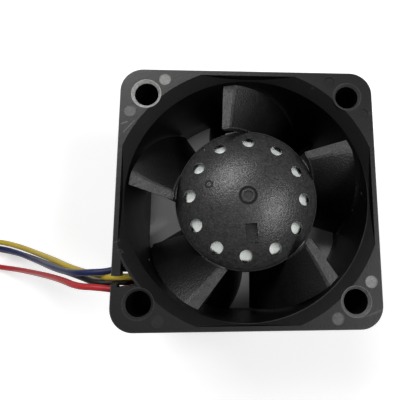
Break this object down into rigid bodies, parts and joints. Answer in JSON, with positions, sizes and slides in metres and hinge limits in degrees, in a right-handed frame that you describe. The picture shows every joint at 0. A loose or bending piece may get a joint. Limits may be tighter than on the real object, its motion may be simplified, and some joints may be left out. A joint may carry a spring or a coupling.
{
  "type": "server fan module",
  "caption": "Small square server cooling fan: black frame with corner tubes, bladed impeller with a vented domed hub, and coloured leads ending in a plug.",
  "frame": {"origin": "centre of the outlet face, on the rotor axis, with the fan lying on that face", "axes": "+Z along the rotor axis from the outlet face to the inlet face, -X towards the side where the leads leave, +Y completes the right-handed frame"},
  "size_m": [0.1137, 0.04, 0.028],
  "materials": {
    "black_frame_plastic": "fine spark texture, semi-matte",
    "black_impeller_plastic": "smooth, semi-gloss",
    "yoke_steel": "zinc plated, dull",
    "magnet": "dark bonded ferrite, matte",
    "shaft_steel": "ground",
    "brass": "turned",
    "spring_steel": "drawn wire",
    "nylon": "natural, satin",
    "lamination_steel": "stacked sheet, matte",
    "board_green": "solder mask, satin",
    "chip_black": "moulded, matte",
    "ceramic_tan": "ceramic, matte",
    "resistor_dark": "matte",
    "tinned_metal": "tin plate, satin",
    "lead_bundle": "four coloured wires side by side",
    "tie_black": "satin",
    "bearing_steel": "ground",
    "shield_steel": "pressed, dull",
    "copper": "enamelled copper wire",
    "lead_red": "PVC, satin",
    "lead_black": "PVC, satin",
    "lead_yellow": "PVC, satin",
    "lead_blue": "PVC, satin"
  },
  "bodies": {
    "frame": {"housing": "black_frame_plastic", "front_bearing_outer_race": "bearing_steel", "front_bearing_shields": "shield_steel", "rear_bearing_outer_race": "bearing_steel", "rear_bearing_shields": "shield_steel", "bearing_sleeve": "brass", "stator_core": "lamination_steel", "rear_insulator": "nylon", "front_insulator": "nylon", "winding_1": "copper", "winding_2": "copper", "winding_3": "copper", "winding_4": "copper", "circuit_board": "board_green", "driver_chip": "chip_black", "hall_sensor": "chip_black", "capacitors": "ceramic_tan", "resistors": "resistor_dark", "winding_pins": "tinned_metal", "inner_lead_red": "lead_red", "inner_lead_black": "lead_black", "inner_lead_yellow": "lead_yellow", "inner_lead_blue": "lead_blue", "lead_red": "lead_red", "lead_black": "lead_black", "lead_yellow": "lead_yellow", "lead_blue": "lead_blue", "lead_coil": "lead_bundle", "coil_tie": "tie_black", "connector_shell": "nylon", "connector_contacts": "tinned_metal"},
    "rotor": {"impeller": "black_impeller_plastic", "rotor_yoke": "yoke_steel", "magnet_ring": "magnet", "shaft": "shaft_steel", "shaft_bush": "brass", "preload_spring": "spring_steel", "retaining_clip": "spring_steel", "clip_washer": "nylon", "front_bearing_inner_race": "bearing_steel", "rear_bearing_inner_race": "bearing_steel"},
    "front_ball_set": {"front_bearing_balls": "bearing_steel", "front_bearing_cage": "nylon"},
    "rear_ball_set": {"rear_bearing_balls": "bearing_steel", "rear_bearing_cage": "nylon"}
  },
  "joints": [
    {"name": "rotor_spin", "type": "hinge", "parent": "frame", "child": "rotor", "pos_m": [0, 0, 0.014], "axis": [0, 0, 1], "continuous": true},
    {"name": "front_balls_orbit", "type": "hinge", "parent": "frame", "child": "front_ball_set", "pos_m": [0, 0, 0.0181], "axis": [0, 0, 1], "continuous": true},
    {"name": "rear_balls_orbit", "type": "hinge", "parent": "frame", "child": "rear_ball_set", "pos_m": [0, 0, 0.0041], "axis": [0, 0, 1], "continuous": true}
  ],
  "couplings": [
    {"joint": "front_balls_orbit", "follows": "rotor_spin", "ratio": 0.39},
    {"joint": "rear_balls_orbit", "follows": "rotor_spin", "ratio": 0.39}
  ]
}
